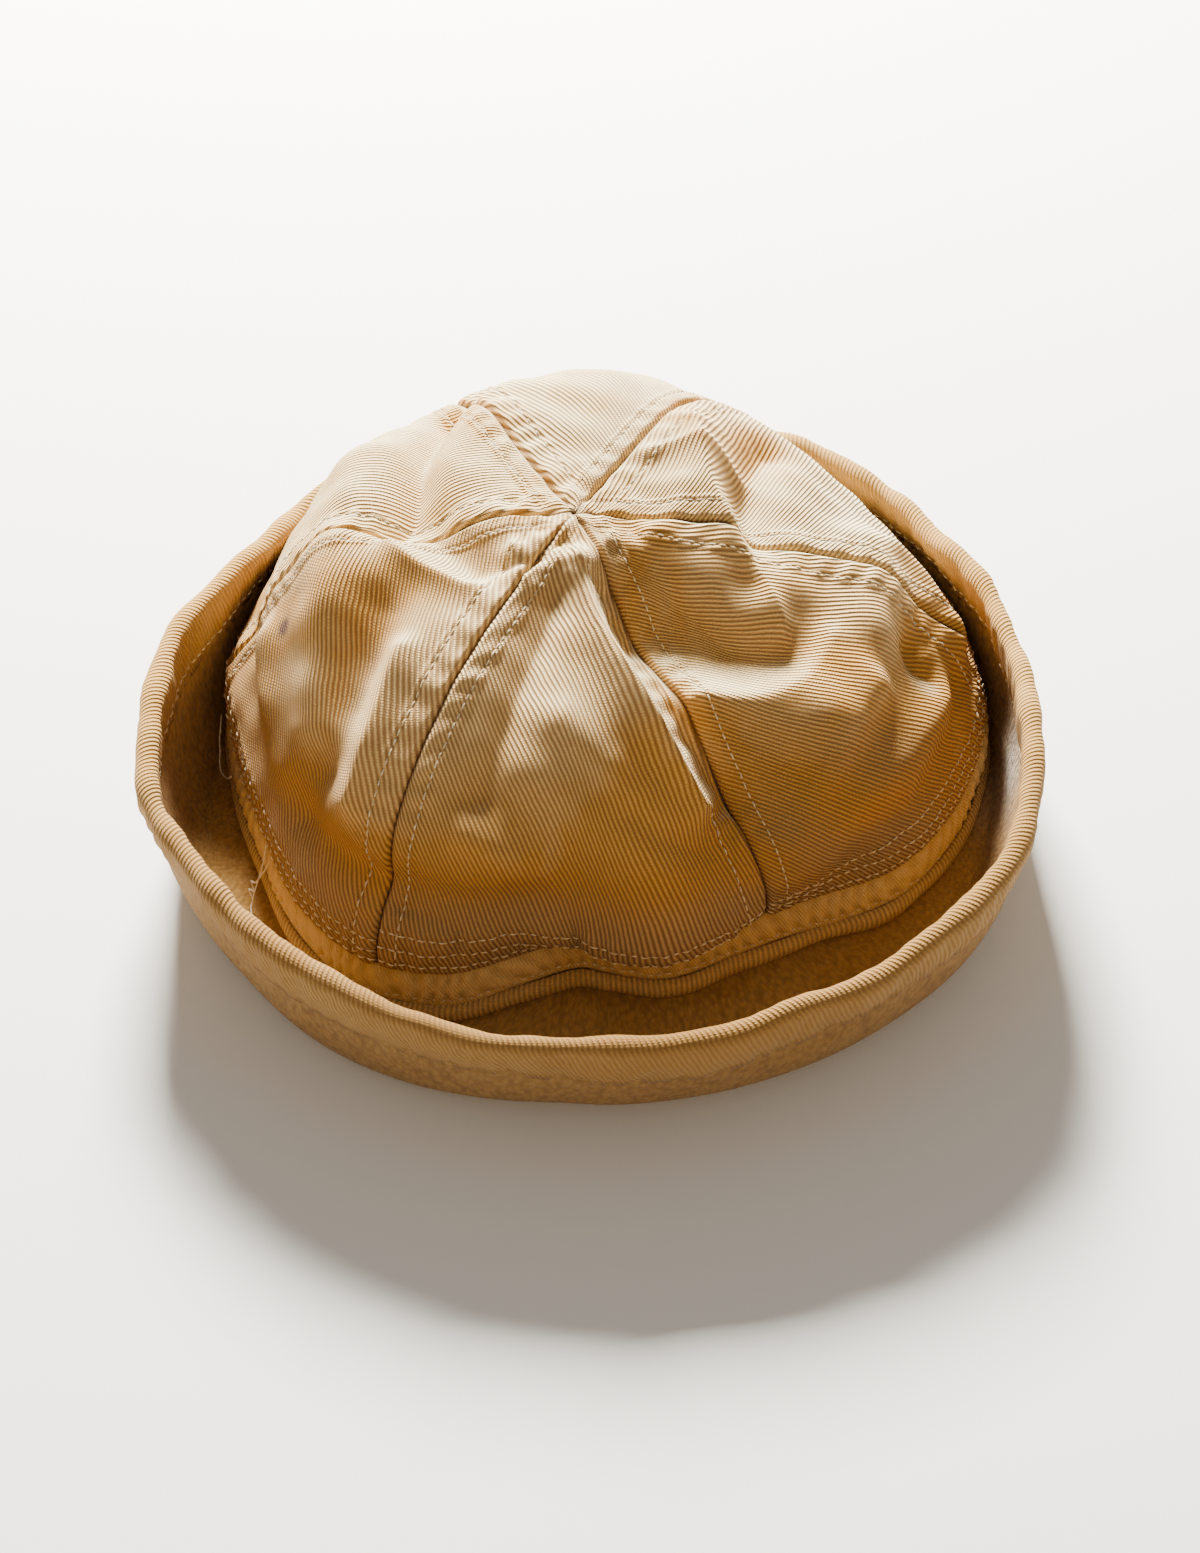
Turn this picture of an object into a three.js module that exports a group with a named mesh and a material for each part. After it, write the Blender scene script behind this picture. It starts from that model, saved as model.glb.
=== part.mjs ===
// A sailor's cloth cap with a turned-up brim, standing on its brim. Millimetres, +Z up.
// The front of the cap looks along -Y. The origin is on the floor, under the middle of the cap.
// Azimuths are in degrees about the crown's axis, 0 at the front and growing towards +X.

import * as THREE from "three";

// ---------------------------------------------------------------- driving dimensions

const CROWN_AXIS = { x: 3.8, y: 17 };
const APEX_SHIFT = { x: -8, y: -3 };
const APEX_HEIGHT = 82;
const WIDEST_HEIGHT = 24;
const ROUND_FROM = 0.22; // share of a gore's length over which the base outline turns into a dome

const BAND_TOP = 17.5;
const WELT_TOP = 8.2;
const WELT_FOOT = 3.0;
const PIECE_GAP = 0.3;
const BAND_LEAN = 1.0; // how far the band's foot stands outside its top

const TWILL_WALL = 1.5;
const BAND_WALL = 1.8;
const WELT_WALL = 2.4;
const BRIM_WALL = 2.6;
const BINDING_WALL = 4.8;

const BRIM_INNER_LIP = 2.0; // how far the brim reaches inside the band's foot
const BELLY_BULGE = 2.0;
const BELLY_HEIGHT_SHARE = 0.38;
const FLOOR_SHARE = 0.5; // share of the way from the base to the belly that lies on the floor
const BINDING_FROM = 0.8; // where the binding starts, as a share of the turned-up part
const BINDING_START = 0.81; // the same with a gap to the brim's end
const BINDING_NARROWS = 0.95; // from here the binding tapers to its rounded top
const WELT_PROUD = 0.6; // how far the welt stands outside the band

const APEX_STOP = 0.99; // share of a gore's length at which its tip is cut off
const FOLDS_RISE_BY = 0.06; // the folds grow from the base edge up to here
const FOLDS_FADE_FROM = 0.9; // and fade from here to the apex
const RING_STEPS = 80;
const GORE_STEPS = { across: 11, along: 14 };
const BRIM_STEPS = [-1, 0, 0.2, 0.4, 0.6, BINDING_FROM];

// Each row is a section of the cap at one azimuth. base is the band's reach from the crown's axis,
// belly the brim's where it turns up, rim its top edge's, rise the rim's height, side the crown's
// at its widest, and fullness the power of the crown's profile: 2 is an ellipse, more is boxier.
const SECTIONS = [
  { azimuth: 0, base: 83, belly: 125, rim: 130, rise: 36, side: 86, fullness: 1.95 },
  { azimuth: 10, base: 86, belly: 124, rim: 128, rise: 36, side: 88, fullness: 1.9 },
  { azimuth: 22, base: 83, belly: 123, rim: 127, rise: 37, side: 86, fullness: 1.75 },
  { azimuth: 36, base: 85, belly: 121, rim: 125, rise: 39, side: 86, fullness: 1.75 },
  { azimuth: 50, base: 92, belly: 118, rim: 122, rise: 42, side: 90, fullness: 1.9 },
  { azimuth: 68, base: 95, belly: 109, rim: 112, rise: 44, side: 92, fullness: 2.0 },
  { azimuth: 90, base: 97, belly: 103, rim: 100, rise: 44, side: 93, fullness: 2.1 },
  { azimuth: 115, base: 95, belly: 101, rim: 94, rise: 42, side: 88, fullness: 2.3 },
  { azimuth: 150, base: 89, belly: 98, rim: 92, rise: 41, side: 84, fullness: 2.5 },
  { azimuth: 180, base: 87, belly: 97, rim: 92, rise: 40, side: 84, fullness: 2.7 },
  { azimuth: 210, base: 88, belly: 97, rim: 92, rise: 41, side: 84, fullness: 2.5 },
  { azimuth: 245, base: 93, belly: 101, rim: 95, rise: 43, side: 86, fullness: 2.5 },
  { azimuth: 270, base: 97, belly: 104, rim: 105, rise: 44, side: 86, fullness: 2.5 },
  { azimuth: 285, base: 95.5, belly: 113, rim: 116, rise: 44, side: 86, fullness: 2.4 },
  { azimuth: 300, base: 97, belly: 120, rim: 124, rise: 42, side: 88, fullness: 2.3 },
  { azimuth: 315, base: 103, belly: 122, rim: 126, rise: 40, side: 95, fullness: 2.2 },
  { azimuth: 327, base: 105, belly: 125, rim: 129, rise: 38, side: 98, fullness: 2.1 },
  { azimuth: 338, base: 100, belly: 126, rim: 130, rise: 36, side: 95, fullness: 2.0 },
  { azimuth: 347, base: 89, belly: 126, rim: 130, rise: 36, side: 90, fullness: 2.0 },
  { azimuth: 355, base: 82, belly: 125, rim: 130, rise: 36, side: 86, fullness: 2.0 },
];

// The six gores between the seams, by the azimuths of their edges at the base.
const GORES = [
  { name: "crown_gore_front", from: -31, to: 27 },
  { name: "crown_gore_front_right", from: 27, to: 88 },
  { name: "crown_gore_back_right", from: 88, to: 150 },
  { name: "crown_gore_back", from: 150, to: 208 },
  { name: "crown_gore_back_left", from: 208, to: 270 },
  { name: "crown_gore_front_left", from: 270, to: 329 },
];

// The crown's main folds. Each runs through three points, given as azimuth and share of the way
// from the base to the apex. height is how far it stands out, or in where it is negative, and
// width is the distance from its middle line at which it has faded to a third.
const FOLDS = [
  { name: "back swell", a: [150, 0.6], b: [182, 0.64], c: [215, 0.6], width: 26, height: 4 },
  { name: "left notch", a: [-146, 0.56], b: [-116, 0.72], c: [-92, 0.72], width: 10, height: -7 },
  { name: "left shoulder", a: [-70, 0.6], b: [-92, 0.64], c: [-118, 0.56], width: 12, height: 3 },
  { name: "apex hollow", a: [-96, 0.8], b: [-78, 0.82], c: [-58, 0.84], width: 7, height: -5 },
  { name: "hollow lip", a: [-82, 0.72], b: [-62, 0.77], c: [-46, 0.81], width: 6, height: 3 },
  { name: "left ridge", a: [-47, 0.64], b: [-40, 0.5], c: [-37, 0.34], width: 7, height: 4 },
  { name: "left valley", a: [-62, 0.64], b: [-52, 0.5], c: [-49, 0.34], width: 8, height: -5 },
  { name: "far left ridge", a: [-84, 0.58], b: [-67, 0.5], c: [-55, 0.38], width: 9, height: 4 },
  { name: "pinch", a: [-50, 0.17], b: [-31, 0.2], c: [-10, 0.18], width: 6, height: -4 },
  { name: "front ridge", a: [2, 0.86], b: [13, 0.68], c: [22, 0.43], width: 7, height: 6 },
  { name: "front valley", a: [-10, 0.82], b: [-14, 0.66], c: [-13, 0.48], width: 8, height: -5 },
  { name: "front bulge", a: [-3, 0.5], b: [4, 0.34], c: [10, 0.2], width: 15, height: 4 },
  { name: "seam valley", a: [21, 0.8], b: [25, 0.6], c: [27, 0.4], width: 8, height: -6 },
  { name: "right ridge", a: [138, 0.74], b: [98, 0.79], c: [64, 0.62], width: 8, height: 6 },
  { name: "right cleft", a: [128, 0.58], b: [108, 0.72], c: [72, 0.7], width: 7, height: -6 },
  { name: "right hollow", a: [40, 0.72], b: [51, 0.63], c: [62, 0.58], width: 13, height: -10 },
  { name: "right lip", a: [32, 0.58], b: [48, 0.53], c: [67, 0.54], width: 7, height: 4 },
  { name: "right shoulder", a: [95, 0.5], b: [72, 0.48], c: [52, 0.46], width: 9, height: 4 },
  { name: "right dimple", a: [78, 0.37], b: [76, 0.34], c: [76, 0.3], width: 6, height: -4 },
  { name: "right roll", a: [74, 0.25], b: [54, 0.26], c: [36, 0.2], width: 7, height: 3 },
  { name: "front overhang", a: [-8, 0.09], b: [6, 0.05], c: [19, 0.07], width: 8, height: 5 },
];
const FOLD_POINTS = 8;
const STEP = 1e-3; // share of a turn or of a length used to take a surface's slope

// ---------------------------------------------------------------- materials

const FINISH = {
  crown: new THREE.MeshStandardMaterial({ color: "#e3d0a4", roughness: 0.85, metalness: 0 }),
  band: new THREE.MeshStandardMaterial({ color: "#c49c62", roughness: 0.85, metalness: 0 }),
  brim: new THREE.MeshStandardMaterial({ color: "#c69a63", roughness: 0.95, metalness: 0 }),
  binding: new THREE.MeshStandardMaterial({ color: "#cc9f64", roughness: 0.85, metalness: 0 }),
};

// ---------------------------------------------------------------- the cap's outline

const radians = THREE.MathUtils.degToRad;
const { clamp, lerp, smoothstep } = THREE.MathUtils;

// A column of SECTIONS at any azimuth, by a smooth closed curve through the rows.
function section(azimuth, column) {
  const count = SECTIONS.length;
  const turn = THREE.MathUtils.euclideanModulo(azimuth, 360);
  const next = SECTIONS.findIndex((row) => row.azimuth > turn);
  const i = ((next < 0 ? count : next) - 1 + count) % count;
  const row = (k) => SECTIONS[(i + k + count) % count];
  const angle = (k) => row(k).azimuth + 360 * Math.floor((i + k) / count);
  const span = angle(1) - angle(0);
  const slope = (k) => (row(k + 1)[column] - row(k - 1)[column]) / (angle(k + 1) - angle(k - 1));
  const x = (turn - angle(0)) / span;
  const start = row(0)[column] * (2 * x ** 3 - 3 * x ** 2 + 1);
  const end = row(1)[column] * (3 * x ** 2 - 2 * x ** 3);
  const leave = slope(0) * span * (x ** 3 - 2 * x ** 2 + x);
  const arrive = slope(1) * span * (x ** 3 - x ** 2);
  return start + end + leave + arrive;
}

// The point at a reach and height at one azimuth about the crown's axis.
function polar(azimuth, reach, height) {
  const turn = radians(azimuth);
  const x = CROWN_AXIS.x + reach * Math.sin(turn);
  const y = CROWN_AXIS.y - reach * Math.cos(turn);
  return new THREE.Vector3(x, y, height);
}

// The crown without folds: a power ellipse from the base, along 0, to the apex, along 1.
function smoothCrown(azimuth, along) {
  const power = 2 / section(azimuth, "fullness");
  const dome = APEX_HEIGHT - WIDEST_HEIGHT;
  const lowest = -Math.asin(((WIDEST_HEIGHT - BAND_TOP) / dome) ** (1 / power));
  const turn = lerp(lowest, Math.PI / 2, along);
  const climb = Math.sign(Math.sin(turn)) * Math.abs(Math.sin(turn)) ** power;
  const spread = Math.max(Math.cos(turn), 0) ** power;
  const domed = smoothstep(along, 0, ROUND_FROM);
  const outline = lerp(section(azimuth, "base"), section(azimuth, "side"), domed);
  const reach = outline * lerp(1, spread, domed);
  const point = polar(azimuth, reach, WIDEST_HEIGHT + dome * climb);
  const lift = clamp((point.z - BAND_TOP) / (APEX_HEIGHT - BAND_TOP), 0, 1);
  point.x += APEX_SHIFT.x * lift;
  point.y += APEX_SHIFT.y * lift;
  return point;
}

// The outward normal of a surface at(azimuth, along) whose along runs up or outward.
function normalOf(at, azimuth, along) {
  const wide = 360 * STEP;
  const across = at(azimuth + wide, along).sub(at(azimuth - wide, along));
  const upward = at(azimuth, along + STEP).sub(at(azimuth, along - STEP));
  return across.cross(upward).normalize();
}

// Each fold's middle line on the smooth crown, as points of a curve through its three.
const foldLines = FOLDS.map((fold) => {
  const start = new THREE.Vector2(...fold.a);
  const middle = new THREE.Vector2(...fold.b);
  const end = new THREE.Vector2(...fold.c);
  const pull = middle.multiplyScalar(2).addScaledVector(start, -0.5).addScaledVector(end, -0.5);
  const curve = new THREE.QuadraticBezierCurve(start, pull, end);
  return { ...fold, points: curve.getPoints(FOLD_POINTS).map((p) => smoothCrown(p.x, p.y)) };
});

// How far a point of the smooth crown is moved by the folds near it.
function foldHeight(point) {
  let total = 0;
  const foot = new THREE.Vector3();
  for (const fold of foldLines) {
    let nearest = Infinity;
    for (let i = 0; i < FOLD_POINTS; i += 1) {
      new THREE.Line3(fold.points[i], fold.points[i + 1]).closestPointToPoint(point, true, foot);
      nearest = Math.min(nearest, foot.distanceTo(point));
    }
    total += fold.height * Math.exp(-((nearest / fold.width) ** 2));
  }
  return total;
}

// The crown with its folds, which fade out at the base and at the apex.
function crown(azimuth, along) {
  const point = smoothCrown(azimuth, along);
  const fade = smoothstep(along, 0, FOLDS_RISE_BY) * (1 - smoothstep(along, FOLDS_FADE_FROM, 1));
  const normal = normalOf(smoothCrown, azimuth, clamp(along, STEP, 1 - 2 * STEP));
  return point.addScaledVector(normal, foldHeight(point) * fade);
}

// The brim's lower face: flat on the floor out to 0, then a curve that turns up to the rim at 1.
function brim(azimuth, along) {
  const base = section(azimuth, "base");
  const belly = section(azimuth, "belly");
  const rise = section(azimuth, "rise");
  const lip = base - BRIM_INNER_LIP;
  const turned = base + FLOOR_SHARE * (belly - base);
  if (along <= 0) return polar(azimuth, lerp(turned, lip, -along), 0);
  const curve = new THREE.CubicBezierCurve(
    new THREE.Vector2(turned, 0),
    new THREE.Vector2(belly, 0),
    new THREE.Vector2(belly + BELLY_BULGE, BELLY_HEIGHT_SHARE * rise),
    new THREE.Vector2(section(azimuth, "rim"), rise),
  );
  const p = curve.getPoint(along);
  return polar(azimuth, p.x, p.y);
}

// ---------------------------------------------------------------- making closed bodies

// A closed body from a grid of corners. rings[i][j] is corner j of the section i; the sections
// close on themselves round j, and round i too where loop is true, or else get end caps.
function bodyFromRings(rings, loop) {
  const sides = rings[0].length;
  const positions = rings.flat().flatMap((p) => [p.x, p.y, p.z]);
  const index = [];
  const corner = (i, j) => (i % rings.length) * sides + (j % sides);
  const last = loop ? rings.length : rings.length - 1;
  for (let i = 0; i < last; i += 1) {
    for (let j = 0; j < sides; j += 1) {
      index.push(corner(i, j), corner(i, j + 1), corner(i + 1, j + 1));
      index.push(corner(i, j), corner(i + 1, j + 1), corner(i + 1, j));
    }
  }
  if (!loop) {
    for (let j = 0; j < sides / 2 - 1; j += 1) {
      const far = sides - 1 - j;
      index.push(corner(0, j), corner(0, far), corner(0, far - 1));
      index.push(corner(0, j), corner(0, far - 1), corner(0, j + 1));
      index.push(corner(last, j), corner(last, far - 1), corner(last, far));
      index.push(corner(last, j), corner(last, j + 1), corner(last, far - 1));
    }
  }
  const geometry = new THREE.BufferGeometry();
  geometry.setAttribute("position", new THREE.Float32BufferAttribute(positions, 3));
  geometry.setIndex(index);
  geometry.computeVertexNormals();
  return geometry;
}

// Evenly spaced numbers, both ends included.
function steps(from, to, count) {
  return Array.from({ length: count + 1 }, (_, k) => lerp(from, to, k / count));
}

const ringAzimuths = steps(0, 360, RING_STEPS).slice(0, RING_STEPS);

// Half the width of the crown at a share of the way up.
function halfWidth(along) {
  return smoothCrown(0, along).distanceTo(smoothCrown(180, along)) / 2;
}

// One gore: a shell between two azimuths, drawn in by half a gap at each of them.
function gore({ from, to }) {
  const alongs = steps(0, APEX_STOP, GORE_STEPS.along);
  const rings = steps(0, 1, GORE_STEPS.across).map((share) => {
    const outer = [];
    const inner = [];
    for (const along of alongs) {
      const gap = THREE.MathUtils.radToDeg(PIECE_GAP / 2 / Math.max(halfWidth(along), PIECE_GAP));
      const azimuth = lerp(from + gap, to - gap, share);
      const point = crown(azimuth, along);
      const normal = normalOf(crown, azimuth, clamp(along, STEP, APEX_STOP - STEP));
      outer.push(point);
      inner.push(point.clone().addScaledVector(normal, -TWILL_WALL));
    }
    return [...outer, ...inner.reverse()];
  });
  return bodyFromRings(rings.reverse(), false);
}

// A ring of cloth standing between two heights at the base outline.
function standingRing(foot, top, wall, proud) {
  const rings = ringAzimuths.map((azimuth) => {
    const base = section(azimuth, "base") + proud;
    const lean = (height) => (BAND_LEAN * (BAND_TOP - height)) / BAND_TOP;
    return [
      polar(azimuth, base + lean(foot), foot),
      polar(azimuth, base + lean(top), top),
      polar(azimuth, base + lean(top) - wall, top),
      polar(azimuth, base + lean(foot) - wall, foot),
    ];
  });
  return bodyFromRings(rings.reverse(), true);
}

// The brim: a ring of cloth flat on the floor next to the band and turned up outside that.
function brimSheet() {
  const rings = ringAzimuths.map((azimuth) => {
    const lower = BRIM_STEPS.map((along) => brim(azimuth, along));
    const upper = BRIM_STEPS.map((along, k) => {
      if (along <= 0) return lower[k].clone().setZ(BRIM_WALL);
      return lower[k].clone().addScaledVector(normalOf(brim, azimuth, along), -BRIM_WALL);
    });
    return [...lower, ...upper.reverse()];
  });
  return bodyFromRings(rings.reverse(), true);
}

// The doubled edge round the rim, standing proud of the brim on both sides.
function rimBinding() {
  const proud = (BINDING_WALL - BRIM_WALL) / 2;
  const rings = ringAzimuths.map((azimuth) => {
    const at = (along, out) =>
      brim(azimuth, along).addScaledVector(normalOf(brim, azimuth, Math.min(along, 1 - STEP)), out);
    return [
      at(BINDING_START, proud),
      at(BINDING_NARROWS, proud),
      at(1, proud / 3),
      at(1, proud / 3 - BRIM_WALL),
      at(BINDING_NARROWS, proud - BINDING_WALL),
      at(BINDING_START, proud - BINDING_WALL),
    ];
  });
  return bodyFromRings(rings.reverse(), true);
}

// ---------------------------------------------------------------- the assembly

function piece(name, geometry, material) {
  const mesh = new THREE.Mesh(geometry, material);
  mesh.name = name;
  return mesh;
}

const band = standingRing(WELT_TOP + PIECE_GAP, BAND_TOP - PIECE_GAP, BAND_WALL, 0);
const welt = standingRing(WELT_FOOT, WELT_TOP, WELT_WALL, WELT_PROUD);

const crownGroup = new THREE.Group();
for (const row of GORES) crownGroup.add(piece(row.name, gore(row), FINISH.crown));
crownGroup.add(piece("crown_band", band, FINISH.band));
crownGroup.add(piece("band_welt", welt, FINISH.band));

const brimGroup = new THREE.Group();
brimGroup.add(piece("brim", brimSheet(), FINISH.brim));
brimGroup.add(piece("rim_binding", rimBinding(), FINISH.binding));

const cap = new THREE.Group();
cap.add(crownGroup, brimGroup);

export default cap;
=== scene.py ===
"""A sailor's cloth cap: six dented twill gores on a stitched band, and a turned-up brim.

Lengths in the tables are millimetres, as a pattern cutter writes them, and metres elsewhere.
Azimuths are degrees about the crown's axis, 0 at the front (-Y) and growing towards +X.
"""

import logging
import math
from dataclasses import dataclass, field, replace
from enum import Enum

import bpy
import numpy as np
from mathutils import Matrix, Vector


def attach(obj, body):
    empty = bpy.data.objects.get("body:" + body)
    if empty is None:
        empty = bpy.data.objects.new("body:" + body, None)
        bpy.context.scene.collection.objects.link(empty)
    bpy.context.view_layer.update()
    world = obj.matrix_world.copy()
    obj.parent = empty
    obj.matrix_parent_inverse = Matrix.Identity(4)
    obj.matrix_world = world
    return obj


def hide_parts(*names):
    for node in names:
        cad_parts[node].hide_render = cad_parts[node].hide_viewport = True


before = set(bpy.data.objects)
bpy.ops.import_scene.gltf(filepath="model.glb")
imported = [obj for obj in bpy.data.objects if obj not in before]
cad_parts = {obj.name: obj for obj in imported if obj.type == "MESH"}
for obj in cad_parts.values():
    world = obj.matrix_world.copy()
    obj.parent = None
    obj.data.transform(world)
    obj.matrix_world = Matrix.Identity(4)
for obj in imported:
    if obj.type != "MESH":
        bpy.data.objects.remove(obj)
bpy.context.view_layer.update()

LOG = logging.getLogger("sailor_cap")
Array = np.ndarray
MM = 0.001
TURN = 2 * math.pi

CROWN_AXIS = np.array([3.8, 17.0, 0.0])
APEX_SHIFT = np.array([-8.0, -3.0, 0.0])
APEX_HEIGHT = 82.0
WIDEST_HEIGHT = 24.0
BAND_TOP = 17.5
ROUND_FROM = 0.22


@dataclass(frozen=True)
class Section:
    """The cap at one azimuth: the reach of base, belly, rim and side, the rise of the rim."""

    azimuth: float
    base: float
    belly: float
    rim: float
    rise: float
    side: float
    fullness: float


SECTIONS = (
    Section(0, 83, 125, 130, 36, 86, 1.95),
    Section(10, 86, 124, 128, 36, 88, 1.9),
    Section(22, 83, 123, 127, 37, 86, 1.75),
    Section(36, 85, 121, 125, 39, 86, 1.75),
    Section(50, 92, 118, 122, 42, 90, 1.9),
    Section(68, 95, 109, 112, 44, 92, 2.0),
    Section(90, 97, 103, 100, 44, 93, 2.1),
    Section(115, 95, 101, 94, 42, 88, 2.3),
    Section(150, 89, 98, 92, 41, 84, 2.5),
    Section(180, 87, 97, 92, 40, 84, 2.7),
    Section(210, 88, 97, 92, 41, 84, 2.5),
    Section(245, 93, 101, 95, 43, 86, 2.5),
    Section(270, 97, 104, 105, 44, 86, 2.5),
    Section(285, 95.5, 113, 116, 44, 86, 2.4),
    Section(300, 97, 120, 124, 42, 88, 2.3),
    Section(315, 103, 122, 126, 40, 95, 2.2),
    Section(327, 105, 125, 129, 38, 98, 2.1),
    Section(338, 100, 126, 130, 36, 95, 2.0),
    Section(347, 89, 126, 130, 36, 90, 2.0),
    Section(355, 82, 125, 130, 36, 86, 2.0),
)


@dataclass(frozen=True)
class Fold:
    """A fold of the crown along a curve through a, b and c, each (azimuth, share of the way up).

    height is how far it stands out, or in where it is negative. width is how far from its
    middle line it has faded to a third, and crisp is 2 for a soft fold and less for a sharp one.
    """

    a: tuple[float, float]
    b: tuple[float, float]
    c: tuple[float, float]
    width: float
    height: float
    crisp: float = 2.0


FOLDS = {
    "back swell": Fold((150, 0.6), (182, 0.64), (215, 0.6), 26, 5.5),
    "left notch": Fold((-146, 0.56), (-116, 0.72), (-92, 0.72), 7, -9, 1.4),
    "left shoulder": Fold((-70, 0.6), (-92, 0.64), (-118, 0.56), 12, 5),
    "apex hollow": Fold((-96, 0.8), (-78, 0.82), (-58, 0.84), 7, -5),
    "hollow lip": Fold((-82, 0.72), (-62, 0.77), (-46, 0.81), 3.5, 3.2, 1.3),
    "left ridge": Fold((-47, 0.64), (-41, 0.5), (-39, 0.34), 5, 3.6, 1.4),
    "left valley": Fold((-62, 0.64), (-52, 0.5), (-49, 0.34), 8, -5),
    "far left ridge": Fold((-84, 0.58), (-67, 0.5), (-55, 0.38), 9, 4),
    "pinch": Fold((-50, 0.17), (-31, 0.2), (-10, 0.18), 6, -4, 1.6),
    "front ridge": Fold((4, 0.88), (12, 0.68), (20, 0.40), 4.2, 6.5, 1.3),
    "front valley": Fold((-10, 0.84), (-15, 0.66), (-18, 0.44), 5.5, -4, 1.5),
    "front bulge": Fold((-3, 0.5), (4, 0.34), (10, 0.2), 15, 4),
    "seam valley": Fold((20, 0.82), (23, 0.62), (26, 0.38), 6, -6.5, 1.6),
    "right ridge": Fold((138, 0.74), (98, 0.79), (64, 0.62), 7, 6.5, 1.3),
    "right cleft": Fold((128, 0.58), (108, 0.72), (72, 0.7), 7, -6, 1.6),
    "right hollow": Fold((40, 0.72), (51, 0.63), (62, 0.58), 13, -10),
    "right lip": Fold((32, 0.58), (48, 0.53), (67, 0.54), 6, 4.5, 1.4),
    "right shoulder": Fold((95, 0.5), (72, 0.48), (52, 0.46), 9, 4),
    "right dimple": Fold((78, 0.37), (76, 0.34), (76, 0.3), 5, -4, 1.4),
    "right roll": Fold((74, 0.25), (54, 0.26), (36, 0.2), 7, 3),
    "right tab": Fold((99, 0.42), (94, 0.33), (88, 0.24), 5, 3.5, 1.5),
    "right soft diagonal": Fold((64, 0.42), (48, 0.37), (34, 0.27), 5, 2.2),
    "right low diagonal": Fold((80, 0.2), (60, 0.15), (40, 0.1), 5, -2.0),
    "front bump": Fold((-4, 0.58), (0, 0.55), (4, 0.5), 5, 1.8),
    "front left bump": Fold((-20, 0.36), (-14, 0.31), (-8, 0.28), 5, 1.8),
    "front right crease": Fold((8, 0.4), (15, 0.33), (24, 0.3), 4, -2.0, 1.5),
    "bracket": Fold((-29, 0.15), (-21, 0.13), (-22, 0.03), 2.2, -1.6, 1.4),
    "top crease": Fold((-12, 0.96), (-30, 0.9), (-44, 0.87), 2.4, -1.6, 1.4),
    "top knob": Fold((-50, 0.9), (-38, 0.88), (-30, 0.86), 3, 2.2, 1.5),
    "right crumple": Fold((110, 0.84), (84, 0.86), (60, 0.88), 4.0, 1.2),
    "back right crumple": Fold((140, 0.84), (128, 0.76), (118, 0.7), 3, 1.6, 1.4),
    "left wall": Fold((-80, 0.3), (-70, 0.24), (-58, 0.2), 6, 2.5),
    "front overhang": Fold((-8, 0.09), (6, 0.05), (19, 0.07), 8, 5),
}
FOLD_SEGMENTS = 10


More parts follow.
